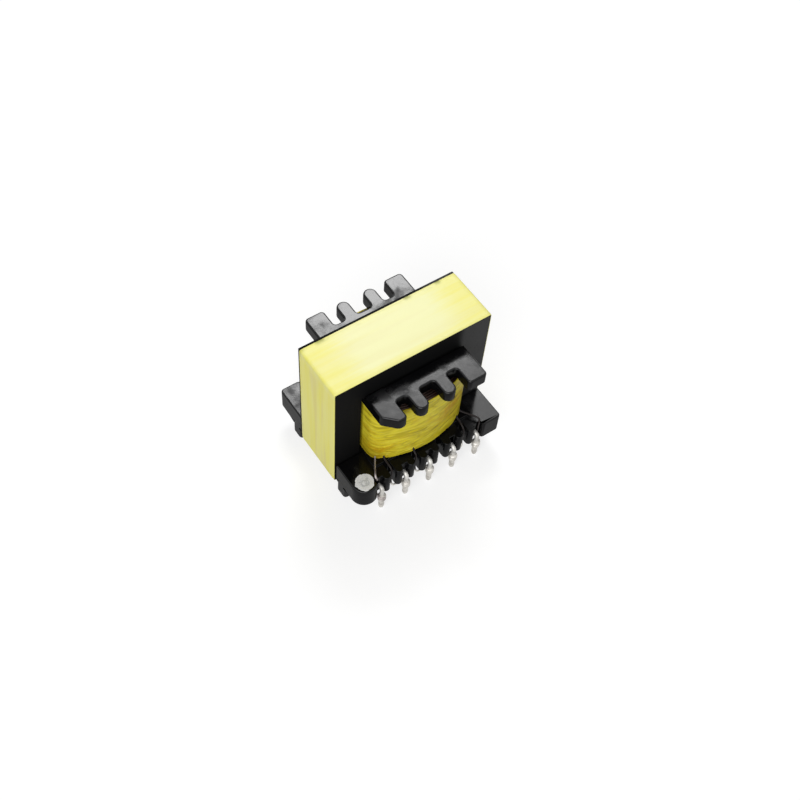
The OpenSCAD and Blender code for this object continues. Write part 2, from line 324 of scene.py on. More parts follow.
@dataclass(frozen=True)
class GroundFerrite:
    """Dark grey ferrite, ground on its faces and granular where chipped, with painted shade as matt
    black between the legs and towards its left end.
    """

    slot: str = "ferrite"
    deep: Color = (0.002, 0.002, 0.0021)
    pale: Color = (0.008, 0.0079, 0.008)
    roughness: float = 0.6
    ior: float = 1.38
    # Share of matt black painted as shade between the legs and towards the left end
    painted_shade: float = 0.75
    recess_x: Span = (10.2, 8.2)
    left_shade_x: Span = (8.0, -6.0)

    def material(self) -> Material:
        """Builds the material."""
        g = Graph("ground_ferrite")
        grain = g.noise(7.0, 4.0, 0.65)
        cloud = g.noise(0.35, 3.0, 0.55, 0.4, 2.0)
        pits = g.noise(3.2, 2.0, 0.5, shift=5.0).over(0.66, 0.74)
        strokes = g.noise((6.0, 6.0, 0.4), 2.0, 0.5, shift=8.0)
        # Painted shade: the recess between the legs, and the left end, which lies in shade
        middle = abs(g.x).over(*self.recess_x)
        left = (g.x + cloud * 6.0).over(*self.left_shade_x)
        return g.finish({
            "Base Color": g.mix(grain.over(0.35, 0.75) * 0.6 + cloud * 0.3 - pits * 0.4,
                                self.deep, self.pale),
            "Roughness": self.roughness + cloud * 0.1 + pits * 0.3,
            "IOR": self.ior,
            "Normal": g.relief(grain * 0.4 + strokes * 0.4 - pits * 0.6, 0.02, 0.3),
        }, (middle + left).capped() * self.painted_shade, self.deep)


@dataclass(frozen=True)
class CoreTapeFilm:
    """Pale yellow polyester tape, streaked along its length and smudged at its edges, paler on its
    top than on its sides as a painted highlight.
    """

    slot: str = "core_tape"
    pale: Color = (0.90, 0.89, 0.44)
    deep: Color = (0.90, 0.83, 0.1)
    blush: Color = (0.74, 0.62, 0.22)
    smudge: Color = (0.30, 0.32, 0.03)
    roughness: float = 0.32
    rim_y: Span = (3.95, 4.95)
    glare_x: Span = (13.0, 6.0)
    glare_y: Span = (6.2, 3.2)
    top_z: Span = (27.0, 28.8)
    side_z: Span = (28.5, 26.0)
    smudges: tuple[float, ...] = (-11.5, 5.3, 11.2)

    def material(self) -> Material:
        """Builds the material."""
        g = Graph("core_tape_film")
        streak = g.noise((0.05, 1.1, 0.05), 3.0, 0.55)
        fine = g.noise((0.12, 4.5, 0.12), 2.0, 0.5, shift=4.0)
        cloud = g.noise(0.16, 2.0, 0.5, 0.5, 7.0)
        rim = g.y.over(*self.rim_y)
        # Painted highlight: the middle of the top is paler
        paler = abs(g.x).over(*self.glare_x) * abs(g.y).over(*self.glare_y) * g.z.over(*self.top_z)
        spots = g.noise((0.28, 0.5, 0.28), 2.0, 0.5, 0.3, 2.6).over(0.6, 0.7) * 0.5
        for x in self.smudges:
            spots = spots + abs(g.x - x + (cloud - 0.5) * 3.0).over(1.1, 0.2)
        # Deeper yellow on the sides and paler on the top, as a painted highlight on the top
        depth = (streak.over(0.35, 0.7) * 0.25 + fine * 0.1 + cloud * 0.2 + 0.3
                 + g.z.over(*self.top_z[::-1]) * 0.3 - paler * 0.55)
        band = g.noise((0.04, 0.55, 0.04), 1.0, 0.5, shift=9.0).over(0.52, 0.68)
        film = g.mix(depth, self.pale, self.deep)
        film = g.mix(band * (0.1 + 0.3 * g.z.over(*self.side_z)), film, self.blush)
        film = g.mix(rim * spots * 0.85, film, self.smudge)
        wrinkle = g.noise((0.08, 1.8, 0.08), 3.0, 0.6, 0.3, 11.0)
        return g.finish({
            "Base Color": film,
            "Roughness": self.roughness + streak * 0.12,
            "IOR": 1.4,
            "Normal": g.relief(wrinkle * 0.6 + g.noise(0.6, 2.0, 0.5, shift=5.0) * 0.8, 0.05, 0.35),
        })


@dataclass(frozen=True)
class CoilTapeFilm:
    """Deeper yellow tape over the windings, creased round the coil and amber where it has aged,
    with painted shade in olive along its creases and at its ends.
    """

    slot: str = "coil_tape"
    bright: Color = (0.84, 0.73, 0.05)
    mid: Color = (0.68, 0.56, 0.018)
    amber: Color = (0.60, 0.35, 0.003)
    # Olive of the painted shade in creases and at the ends, also used for grain
    olive_shade: Color = (0.28, 0.21, 0.006)
    roughness: float = 0.36
    aged_at: tuple[Point, ...] = ((-8.9, -8.0, 11.0), (5.6, -9.7, 15.5))
    aged_r: Span = (4.8, 0.8)
    end_shade_x: Span = (7.0, 9.3)
    end_shade_z: Span = (17.0, 10.5)

    def material(self) -> Material:
        """Builds the material."""
        g = Graph("coil_tape_film")
        streak = g.noise((0.11, 0.11, 0.9), 3.0, 0.55, 0.35)
        fine = g.noise((0.18, 0.18, 1.2), 3.0, 0.6, 0.8, 4.0)
        blot = g.noise((0.22, 0.22, 0.5), 3.0, 0.6, 0.8, 9.0)
        grain = g.noise((1.5, 1.5, 2.2), 3.0, 0.65, 0.3, 6.0)
        fold = abs(g.noise((0.11, 0.11, 0.55), 2.0, 0.55, 0.9, 13.0) - 0.5).over(0.06, 0.0)
        film = g.mix(streak.over(0.36, 0.66), self.bright, self.mid)
        age = blot.over(0.52, 0.7) * 0.4
        for x, y, z in self.aged_at:
            near = g.away(x, y, z).over(*self.aged_r)
            age = age + near * (blot * 0.6 + grain * 0.5).over(0.4, 0.66)
        film = g.mix(age.capped() * 0.9, film, self.amber)
        # Painted shade at both ends low down near the flange, and at the right end
        both = abs(g.x).over(*self.end_shade_x) * g.z.over(*self.end_shade_z)
        ends = both * 0.45 + g.x.over(*self.end_shade_x) * 0.3
        # Painted shade along the fine creases and folds and at the ends; the grain is random tone
        dark = fine.over(0.5, 0.7) * 0.6 + fold * 0.34 + grain.over(0.55, 0.75) * 0.2 + ends
        return g.finish({
            "Base Color": g.mix(dark.capped(), film, self.olive_shade),
            "Roughness": self.roughness + fine * 0.14,
            "IOR": 1.22,
            "Normal": g.relief(fine * 0.7 + streak * 0.5 + grain * 0.3, 0.09, 0.7),
        })


@dataclass(frozen=True)
class EnamelledCopper:
    """Copper winding wire under clear brown enamel, coloured nearly black as painted shade, as it
    shows only down in the flange's notches.
    """

    slot: str = "copper"
    # Painted shade: both colours are darkened nearly to black
    bright: Color = (0.05, 0.018, 0.010)
    dull: Color = (0.018, 0.008, 0.006)

    def material(self) -> Material:
        """Builds the material."""
        g = Graph("enamelled_copper")
        patch = g.noise(0.8, 3.0, 0.55, 0.3)
        return g.finish({
            "Base Color": g.mix(patch.over(0.35, 0.7), self.bright, self.dull),
            "Metallic": 0.6,
            "Roughness": 0.32 + patch * 0.15,
            "Coat Weight": 0.2,
            "Normal": g.relief(g.noise(4.0, 2.0, 0.5, shift=2.0), 0.02, 0.4),
        })


@dataclass(frozen=True)
class TinnedWire:
    """Tinned wire, dulled in patches and pitted where solder has run."""

    slot: str
    label: str
    bright: Color = (0.64, 0.63, 0.60)
    dull: Color = (0.40, 0.39, 0.365)
    roughness: float = 0.5

    def material(self) -> Material:
        """Builds the material."""
        g = Graph(self.label)
        patch = g.noise(1.1, 4.0, 0.6, 0.4)
        pits = g.noise(6.0, 2.0, 0.5, shift=6.0)
        return g.finish({
            "Base Color": g.mix(patch.over(0.38, 0.72), self.bright, self.dull),
            "Metallic": 1.0,
            "Roughness": self.roughness + patch * 0.16 + pits * 0.08,
            "Normal": g.relief(pits * 0.5 + patch * 0.6, 0.03, 0.45),
        })


@dataclass(frozen=True)
class EnamelledLead:
    """Winding end in dark enamel, stripped and tinned where it is wound on its pin."""

    enamel: Color = (0.009, 0.0055, 0.005)
    tin: Color = (0.6, 0.58, 0.54)
    bare_z: float = 4.4

    def material(self) -> Material:
        """Builds the material."""
        g = Graph("enamelled_lead")
        patch = g.noise(1.5, 3.0, 0.55, 0.3)
        lighter = (g.z + patch * 0.5).over(self.bare_z + 0.55, self.bare_z)
        return g.finish({
            "Base Color": g.mix(lighter, self.enamel, self.tin),
            "Metallic": lighter,
            "Roughness": 0.36 + patch * 0.16,
            "IOR": 1.3,
            "Normal": g.relief(patch, 0.02, 0.4),
        })


@dataclass(frozen=True)
class DotPaint:
    """White marking paint, dabbed on in a swirl and greyed in its middle."""

    slot: str = "dot_paint"
    white: Color = (0.98, 0.99, 1.0)
    grey: Color = (0.40, 0.42, 0.42)
    middle: tuple[float, float] = (-12.65, -10.95)

    def material(self) -> Material:
        """Builds the material."""
        g = Graph("dot_paint")
        dab = g.noise((1.5, 1.1, 1.0), 3.0, 0.6, 0.8, 3.0)
        grain = g.noise(7.0, 2.0, 0.5)
        out = g.away(*self.middle) + (dab - 0.5) * 3.0
        swirl = abs(out - 0.5).over(0.45, 0.05) + abs(out - 1.15).over(0.2, 0.05) * 0.4
        greyed = swirl * 0.55 + grain.over(0.5, 0.7) * 0.1
        return g.finish({
            "Base Color": g.mix(greyed.capped(), self.white, self.grey),
            "Roughness": 0.4 + grain * 0.2,
            "IOR": 1.3,
            "Normal": g.relief(dab * 0.6 + grain * 0.2 - swirl * 0.4, 0.05, 0.5),
        })


# Meshes


def waver(*place: float) -> float:
    """Smooth noise between about -1 and 1 at a place."""
    return noise.noise(Vector(place))


def within(value: float) -> float:
    """The value, but no less than 0 and no more than 1."""
    return min(1.0, max(0.0, value))


def arc(x: float, y: float, r: float, start: float, turn: float, steps: int) -> list[Outline]:
    """Points of an arc without its end, in a plane.

    Args:
        x: its middle's first coordinate.
        y: its middle's second coordinate.
        r: its radius.
        start: angle that it starts at.
        turn: angle that it runs through.
        steps: how many points there are.

    Returns:
        The points with their outward directions.
    """
    rays = [(math.cos(a), math.sin(a)) for a in (start + turn * k / steps for k in range(steps))]
    return [(x + r * c, y + r * s, c, s) for c, s in rays]


def new_object(name: str, data: ID) -> Object:
    """Links a new object at the origin."""
    made = bpy.data.objects.new(name, data)
    bpy.context.scene.collection.objects.link(made)
    return made


def solid(name: str, points: Sequence[Point], faces: Sequence[Sequence[int]],
          material: Material) -> Object:
    """Makes a smooth closed mesh.

    Args:
        name: the piece's name.
        points: vertices in millimetres.
        faces: vertex numbers of each face.
        material: its finish.

    Returns:
        The new object.
    """
    mesh = bpy.data.meshes.new(name)
    mesh.from_pydata([tuple(c * MM for c in p) for p in points], [], [list(f) for f in faces])
    bm = bmesh.new()
    bm.from_mesh(mesh)
    bmesh.ops.recalc_face_normals(bm, faces=bm.faces)
    for face in bm.faces:
        face.smooth = True
    for edge in bm.edges:
        edge.smooth = edge.calc_face_angle(0.0) < SMOOTH_ANGLE
    bm.to_mesh(mesh)
    bm.free()
    mesh.materials.append(material)
    return new_object(name, mesh)


def ring_faces(rings: int, size: int, closed: bool) -> list[tuple[int, ...]]:
    """Faces between neighbouring rings of points.

    Args:
        rings: how many rings there are.
        size: points in each ring.
        closed: whether the last ring meets the first; otherwise both get an end face.

    Returns:
        The point numbers of each face.
    """
    faces: list[tuple[int, ...]] = []
    for ring in range(rings if closed else rings - 1):
        a, b = ring * size, (ring + 1) % rings * size
        faces += [(a + k, a + (k + 1) % size, b + (k + 1) % size, b + k) for k in range(size)]
    if not closed:
        faces += [tuple(range(size)), tuple(range((rings - 1) * size, rings * size))]
    return faces


def baked(holder: Object, name: str) -> Object:
    """Turns an object with live modifiers into a plain mesh object and drops the holder."""
    graph = bpy.context.evaluated_depsgraph_get()
    mesh = bpy.data.meshes.new_from_object(holder.evaluated_get(graph))
    holder.modifiers.clear()
    bpy.data.objects.remove(holder)
    mesh.name = name
    return new_object(name, mesh)


def rounded_copy(node: Object, name: str, radius: Callable[[Vector], float], steps: int,
                 material: Material) -> Object:
    """Copies a CAD node with its seams merged and its edges rounded.

    Args:
        node: the CAD node's object, which stays as it is.
        name: the copy's name.
        radius: gives the rounding at a place, both in millimetres.
        steps: segments of the rounding.
        material: its finish.

    Returns:
        The new object.
    """
    mesh = node.data.copy()
    bm = bmesh.new()
    bm.from_mesh(mesh)
    bmesh.ops.remove_doubles(bm, verts=bm.verts, dist=WELD)
    bmesh.ops.dissolve_limit(bm, angle_limit=FLAT_ANGLE, verts=bm.verts, edges=bm.edges,
                             use_dissolve_boundaries=False)
    for face in bm.faces:
        face.smooth = True
        face.material_index = 0
    weight = bm.edges.layers.float.new("bevel_weight_edge")
    for edge in bm.edges:
        if edge.calc_face_angle(0.0) > ROUND_ANGLE:
            edge[weight] = radius((edge.verts[0].co + edge.verts[1].co) / 2 / MM) / WIDEST
    bm.to_mesh(mesh)
    bm.free()
    mesh.materials.clear()
    mesh.materials.append(material)
    holder = new_object(name + "_holder", mesh)
    bevel = holder.modifiers.new("edges", "BEVEL")
    bevel.width = WIDEST * MM
    bevel.segments = steps
    bevel.limit_method = "WEIGHT"
    bevel.use_clamp_overlap = False
    bevel.miter_outer = "MITER_ARC"
    even = holder.modifiers.new("normals", "WEIGHTED_NORMAL")
    even.mode = "FACE_AREA"
    even.weight = 100
    even.keep_sharp = False
    return baked(holder, name)


def settle(piece: Object, slot: str, *nodes: str) -> None:
    """Puts a finished piece on the body, in place of CAD nodes, and reports it."""
    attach(piece, BODY)
    if nodes:
        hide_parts(*nodes)
    LOG.info("%s: %d faces, stands for %s", piece.name, len(piece.data.polygons), ", ".join(nodes))


class WireTree(Nodes):
    """Geometry Nodes that sweep a round wire along a line of edges."""

    def __init__(self) -> None:
        """Builds the tree with its named inputs."""
        super().__init__(bpy.data.node_groups.new("round_wire", "GeometryNodeTree"))
        face = self.tree.interface
        face.new_socket("Geometry", in_out="INPUT", socket_type="NodeSocketGeometry")
        kinds = {"Radius": "Float", "Sides": "Int", "Unevenness": "Float", "Grain": "Float",
                 "Seed": "Float", "Material": "Material"}
        self.inputs = {name: face.new_socket(name, in_out="INPUT", socket_type="NodeSocket" + kind)
                       for name, kind in kinds.items()}
        face.new_socket("Geometry", in_out="OUTPUT", socket_type="NodeSocketGeometry")
        given = self.node("NodeGroupInput").outputs
        swell = self._made("InputNamedAttribute", Name="swell")
        grain = self.node("ShaderNodeTexNoise", {"noise_dimensions": "4D"},
                          {"W": given["Seed"], "Scale": given["Grain"]}).outputs[0]
        centred = self.operate("SUBTRACT", grain, 0.5)
        uneven = self.operate("MULTIPLY_ADD", centred, given["Unevenness"], 1.0)
        wide = self.operate("MULTIPLY", swell, uneven)
        scale = self.operate("MULTIPLY", wide, given["Radius"])
        curve = self._made("MeshToCurve", Mesh=given["Geometry"])
        ring = self._made("CurvePrimitiveCircle", Resolution=given["Sides"], Radius=1.0)
        swept = self._made("CurveToMesh", **{"Curve": curve, "Profile Curve": ring,
                                             "Scale": scale, "Fill Caps": True})
        smooth = self._made("SetShadeSmooth", Geometry=swept)
        real = self._made("RealizeInstances", Geometry=smooth)
        dressed = self._made("SetMaterial", Geometry=real, Material=given["Material"])
        self.node("NodeGroupOutput", sockets={0: dressed})

    def _made(self, kind: str, **sockets: Any) -> NodeSocket:
        """Adds one geometry node and gives its first result."""
        return self.node("GeometryNode" + kind, sockets=sockets).outputs[0]

    def sweep(self, name: str, lines: Sequence[Sequence[Point]], swells: Sequence[Sequence[float]],
              closed: bool, **values: Any) -> Object:
        """Sweeps wire along lines of points.

        Args:
            name: the piece's name.
            lines: points of each line in millimetres.
            swells: share of the radius at each point.
            closed: whether each line is a loop.
            values: the tree's inputs by name.

        Returns:
            The wire as a plain mesh object.
        """
        points: list[Point] = []
        edges: list[tuple[int, int]] = []
        for line in lines:
            first = len(points)
            points += [tuple(c * MM for c in p) for p in line]
            edges += [(k, k + 1) for k in range(first, len(points) - 1)]
            if closed:
                edges.append((len(points) - 1, first))
        mesh = bpy.data.meshes.new(name)
        mesh.from_pydata(points, edges, [])
        share = mesh.attributes.new("swell", "FLOAT", "POINT")
        share.data.foreach_set("value", [s for line in swells for s in line])
        holder = new_object(name + "_path", mesh)
        modifier = holder.modifiers.new("wire", "NODES")
        modifier.node_group = self.tree
        for key, value in values.items():
            modifier[self.inputs[key].identifier] = value
        return baked(holder, name)


# Sub-assemblies, with their sizes in millimetres


@dataclass
class Moulding:
    """The bobbin, with the soft edges of a moulding."""

    edge_r: float = 0.12
    finger_r: float = 0.34
    corner_r: float = 0.5
    block_r: float = 0.26
    corner_z: float = 22.7
    finger_z: float = 24.9
    block_z: float = 8.4
    block_x: float = 11.3
    slack: float = 0.02
    finish: MouldedPlastic = MouldedPlastic()

    def edge(self, place: Vector) -> float:
        """Rounding of an edge: wide on the fingers and the end blocks' tops, fine elsewhere."""
        if place.z > self.finger_z - self.slack:
            return self.finger_r
        if place.z > self.corner_z:
            return self.corner_r
        if abs(place.z - self.block_z) < self.slack and abs(place.x) > self.block_x:
            return self.block_r
        return self.edge_r

    def build(self, nodes: dict[str, Object]) -> None:
        """Makes and places the moulding."""
        stuff = self.finish.material()
        made = rounded_copy(nodes["bobbin"], "bobbin_moulding", self.edge, 3, stuff)
        settle(made, self.finish.slot, "bobbin")


@dataclass
class Core:
    """The two ferrite pieces, with broken edges."""

    edge_r: float = 0.09
    finish: GroundFerrite = GroundFerrite()

    def build(self, nodes: dict[str, Object]) -> None:
        """Makes and places both pieces."""
        stuff = self.finish.material()
        for node in ("core_e", "core_bar"):
            made = rounded_copy(nodes[node], node + "_ferrite", lambda _: self.edge_r, 2, stuff)
            settle(made, self.finish.slot, node)


@dataclass
class CoreTape:
    """Band of tape round the core: turns that don't quite register, and a lapped end."""

    half_x: float = 15.0
    low_z: float = 3.25
    high_z: float = 28.85
    front_w: float = 5.4
    back_w: float = 4.95
    corner_r: float = 0.3
    arc_steps: int = 6
    pitch: float = 0.45
    columns: int = 44
    turn_t: float = 0.14
    lower_share: float = 0.55
    step_w: float = 0.2
    step_run: float = 0.05
    drift: float = 0.07
    drift_cells: float = 0.13
    drift_row: float = 4.0
    lap_near: float = 0.1
    lap_z: float = 17.0
    lap_share: float = 0.22
    ripple_t: float = 0.012
    ripple_cells: Point = (0.25, 0.9, 0.25)
    sink: float = 0.008
    inside: float = 0.004
    outside: tuple[float, float] = (0.02, 0.148)
    finish: CoreTapeFilm = CoreTapeFilm()

    def section(self) -> list[Outline]:
        """Points round the core in XZ, each with its outward direction."""
        r = self.corner_r
        mid = (self.low_z + self.high_z) / 2
        half_z = (self.high_z - self.low_z) / 2
        made: list[Outline] = []
        for quarter in range(4):
            start = quarter * math.pi / 2
            cx = (self.half_x - r) * (1 if quarter in (0, 3) else -1)
            cz = mid + (half_z - r) * (1 if quarter in (0, 1) else -1)
            run = 2 * (self.half_x - r) if quarter % 2 == 0 else 2 * (half_z - r)
            made += arc(cx, cz, r, start, math.pi / 2, self.arc_steps)
            nx, nz = math.cos(start + math.pi / 2), math.sin(start + math.pi / 2)
            x0, z0 = cx + r * nx, cz + r * nz
            count = max(2, round(run / self.pitch))
            for k in range(count):
                made.append((x0 - nz * run * k / count, z0 + nx * run * k / count, nx, nz))
        return made

    def height(self, x: float, y: float, z: float) -> float:
        """Stand-off of the tape's outside from the core at a place."""
        edge = min(self.front_w + y, self.back_w - y)
        row = math.copysign(self.drift_row, y)
        drift = self.drift * waver(x * self.drift_cells, row, z * self.drift_cells)
        step = within((edge - self.step_w - drift) / self.step_run)
        turns = self.lower_share + (1 - self.lower_share) * step
        if x > self.half_x - self.lap_near and z < self.lap_z:
            turns -= self.lap_share
        ripple = waver(*(place * cells for place, cells in zip((x, y, z), self.ripple_cells)))
        return self.turn_t * turns + self.ripple_t * ripple - self.sink

    def build(self) -> None:
        """Makes and places the band."""
        loop, (least, most) = self.section(), self.outside
        wide = self.front_w + self.back_w
        columns = [-self.front_w + wide * k / self.columns for k in range(self.columns + 1)]
        points: list[Point] = []
        for x, z, nx, nz in loop:
            ring = [(y, min(most, max(least, self.height(x, y, z)))) for y in columns]
            ring += [(y, self.inside) for y in reversed(columns)]
            points += [(x + nx * h, y, z + nz * h) for y, h in ring]
        faces = ring_faces(len(loop), 2 * len(columns), True)
        made = solid("core_tape_band", points, faces, self.finish.material())
        settle(made, self.finish.slot, "core_tape")


@dataclass
class Coil:
    """The wound coil: two windings with tape between them and a creased wrap outside."""

    tube_x: float = 6.1
    tube_y: float = 6.55
    low_z: float = 8.9
    high_z: float = 22.5
    build_side: float = 3.4
    build_front: float = 4.2
    bow_r: float = 18.2
    corner_r: float = 2.5
    corner_fine: float = 1.6
    lead_inset: float = 0.7
    wrap_t: float = 0.3
    wrap_least: float = 0.03
    wrap_rows: int = 90
    wrap_pitch: float = 0.28
    inside_step: int = 10
    edge_gain: float = 1.6
    seam: float = 6.0
    layer_t: float = 0.15
    inner_gap: float = 0.12
    wire_r: float = 0.175
    wire_pitch: float = 0.7
    spacing: float = 2.3
    end_gap: float = 0.02
    end_turns: int = 2
    layers: int = 4
    film: CoilTapeFilm = CoilTapeFilm()
    copper: EnamelledCopper = EnamelledCopper()

    def corner(self, build: float) -> tuple[float, float, float, float, float, float]:
        """Plan of the coil at a build.

        Args:
            build: thickness wound so far, at the sides.

        Returns:
            Half its width, half its depth, its corner radius, the Y of the bow's middle, and the X
            and Y of the corner's middle.
        """
        share = build / self.build_side
        half_x, half_y = self.tube_x + build, self.tube_y + self.build_front * share
        r, bow = self.corner_r * share, half_y - self.bow_r
        cx = half_x - r
        return half_x, half_y, r, bow, cx, bow + math.sqrt((self.bow_r - r) ** 2 - cx ** 2)

    def face_point(self, across: float, off: float) -> tuple[float, float]:
        """X and Y off the coil's back face, given the distance from the middle."""
        half_x, _, r, bow, cx, cy = self.corner(self.build_side)
        reach = min(across, half_x - self.lead_inset)
        if reach < cx * self.bow_r / (self.bow_r - r):
            s, r, ox, oy = reach / self.bow_r, self.bow_r, 0.0, bow
        else:
            s, ox, oy = (reach - cx) / r, cx, cy
        return ox + (r + off) * s, oy + (r + off) * math.sqrt(1 - s * s)

    def plan(self, build: float, pitch: float) -> list[Outline]:
        """Points round the coil in XY, with outward directions.

        Args:
            build: thickness wound so far, at the sides.
            pitch: distance between points.

        Returns:
            The points in order.
        """
        half_x, half_y, r, bow, cx, cy = self.corner(build)
        turn = math.atan2(cy - bow, cx)
        count = max(2, round(cy / pitch))
        quarter: list[Outline] = [(half_x, cy * k / count, 1.0, 0.0) for k in range(count)]
        count = max(6, round(r * turn / pitch * self.corner_fine))
        quarter += arc(cx, cy, r, 0.0, turn, count)
        rest = math.pi / 2 - turn
        count = max(4, round(self.bow_r * rest / pitch))
        quarter += arc(0.0, bow, self.bow_r, turn, rest, count)
        right = [*quarter, (0.0, half_y, 0.0, 1.0)]
        left = [(-x, y, -nx, ny) for x, y, nx, ny in reversed(right)][1:]
        upper = right + left
        lower = [(x, -y, nx, -ny) for x, y, nx, ny in reversed(upper)][1:-1]
        return upper + lower

    def crease(self, s: float, z: float) -> float:
        """How far the wrap lies inside its outermost surface, in millimetres."""
        slow = waver(s * 0.16, z * 0.55, 3.1)
        fold = waver(s * 0.2 + z * 0.12, z * 1.5, 7.7)
        pucker = waver(s * 0.2 - z * 0.16, z * 0.62 + s * 0.07, 12.4)
        sharp = max(0.0, 1.0 - abs(fold) * 7.0) ** 2
        deep = max(0.0, 1.0 - abs(pucker) * 5.0) ** 2
        fine = waver(s * 0.5, z * 3.4, 1.3)
        return 0.065 + 0.045 * slow + 0.05 * sharp + 0.09 * deep + 0.012 * fine

    def wrap(self) -> None:
        """Makes and places the outer tape."""
        loop = self.plan(self.build_side, self.wrap_pitch)
        tall, most = self.high_z - self.low_z, self.wrap_t - self.wrap_least
        rows = [self.low_z + tall * k / self.wrap_rows for k in range(self.wrap_rows + 1)]
        gains = [self.edge_gain, *[1.0] * (self.wrap_rows - 1), self.edge_gain]
        lengths = [0.0]
        for a, b in zip(loop, loop[1:]):
            lengths.append(lengths[-1] + math.dist(a[:2], b[:2]))
        whole = lengths[-1] + math.dist(loop[-1][:2], loop[0][:2])
        points: list[Point] = []
        for (x, y, nx, ny), s in zip(loop, lengths):
            blend = within((whole - s) / self.seam)
            ring: list[tuple[float, float]] = []
            for z, gain in zip(rows, gains):
                depth = self.crease(s, z) * blend + self.crease(s - whole, z) * (1 - blend)
                ring.append((min(depth * gain, most), z))
            ring += [(self.wrap_t, z) for z in reversed(rows[::self.inside_step])]
            points += [(x - nx * d, y - ny * d, z) for d, z in ring]
        faces = ring_faces(len(loop), len(points) // len(loop), True)
        made = solid("coil_wrap", points, faces, self.film.material())
        settle(made, self.film.slot, "coil_tape")

    def winding(self, wires: WireTree, node: str, inner: float, outer: float,
                stuff: Material) -> None:
        """Makes one winding: its end turns as wire, over a body of the turns between them.

        Args:
            wires: the tree that sweeps wire.
            node: the CAD node that it stands for.
            inner: build at its inside.
            outer: build at its outside.
            stuff: the copper finish.
        """
        lines: list[list[Point]] = []
        step = (outer - inner) / self.layers
        turns = int((self.high_z - self.low_z) / (self.spacing * self.wire_r))
        first = self.low_z + self.wire_r + self.end_gap
        rise = self.high_z - self.low_z - 2 * self.wire_r - 2 * self.end_gap
        for layer in range(self.layers):
            plan = self.plan(inner + step * (layer + 0.5), self.wire_pitch)
            whole = layer in (0, self.layers - 1)
            for turn in range(turns):
                if whole or turn < self.end_turns or turn >= turns - self.end_turns:
                    z = first + rise * turn / (turns - 1)
                    lines.append([(x, y, z) for x, y, _, _ in plan])
        swells = [[1.0] * len(line) for line in lines]
        made = wires.sweep(node + "_turns", lines, swells, True, Radius=self.wire_r * MM, Sides=8,
                           Unevenness=0.02, Grain=300.0, Seed=2.0, Material=stuff)
        settle(made, self.copper.slot, node)

    def build(self, nodes: dict[str, Object], wires: WireTree) -> None:
        """Makes and places the wrap and both windings, and dresses the tape between them."""
        self.wrap()
        copper = self.build_side - self.wrap_t - self.layer_t
        stuff = self.copper.material()
        self.winding(wires, "primary_winding", self.inner_gap, copper / 2, stuff)
        self.winding(wires, "secondary_winding", copper / 2 + self.layer_t, copper + self.layer_t,
                     stuff)
        between = nodes["layer_tape"]
        between.data.materials.clear()
        between.data.materials.append(bpy.data.materials["coil_tape_film"])
        LOG.info("layer_tape: dressed in place")


def soft_line(points: Sequence[Vector], steps: int) -> list[Vector]:
    """Smooth line through points, without its last one.

    Args:
        points: the points that it passes.
        steps: pieces between neighbouring points.

    Returns:
        The points of the smooth line.
    """
    ends = [points[0] * 2 - points[1], *points, points[-1] * 2 - points[-2]]
    made: list[Vector] = []
    for k in range(1, len(ends) - 2):
        a, b, c, d = ends[k - 1:k + 3]
        for step in range(steps):
            t = step / steps
            made.append(0.5 * (2 * b + (c - a) * t + (2 * a - 5 * b + 4 * c - d) * t * t
                               + (3 * b - a - 3 * c + d) * t ** 3))
    return made


@dataclass(frozen=True)
class PinPlace:
    """Where a pin stands and how its lead comes to it.

    Attributes:
        x: place along the row.
        side: its row.
        outer: whether it is the last one of its row.
    """

    x: float
    side: Side
    outer: bool

    @property
    def way(self) -> int:
        """Sign of the side that the lead comes down on."""
        return 1 if self.x > 0 else -1

    @property
    def angle(self) -> float:
        """Where the lead's turns start, in degrees."""
        if self.outer:
            return 0.0 if self.x > 0 else 180.0
        return -90.0

    @property
    def turn(self) -> int:
        """Sense of the lead's turns."""
        return self.way if self.outer else -self.way


@dataclass(frozen=True)
class SolderForm:
    """Sizes of the solder on a pin: a thin coat below and a body that fills the turns."""

    low: float = 0.22
    high: float = 4.06
    rows: int = 64
    sides: int = 36
    inner_r: float = 0.402
    coat_t: float = 0.095
    coat_drift: float = 0.02
    coat_rise: float = 0.5
    body_z: float = 2.0
    body_t: float = 0.19
    body_rise: float = 0.8
    body_drift: float = 0.35
    ridge_t: float = 0.068
    ridge_w: float = 0.17
    top_fall: float = 0.14

    def radius(self, z: float, flow: float, ridge: float) -> float:
        """Radius of the solder's outside.

        Args:
            z: height of the place.
            flow: unevenness there, from -1 to 1.
            ridge: how near a turn of the lead is, from 0 to 1.

        Returns:
            The radius.
        """
        coat = within((z - self.low) / self.coat_rise)
        rise = within((z - self.body_z) / (self.body_rise + self.body_drift * flow))
        fall = within((self.high - z) / self.top_fall)
        body = (rise * rise * (3 - 2 * rise)) * fall
        return (self.inner_r + (self.coat_t + self.coat_drift * flow) * coat * (2 - coat) * fall
                + body * (self.body_t + self.ridge_t * ridge))


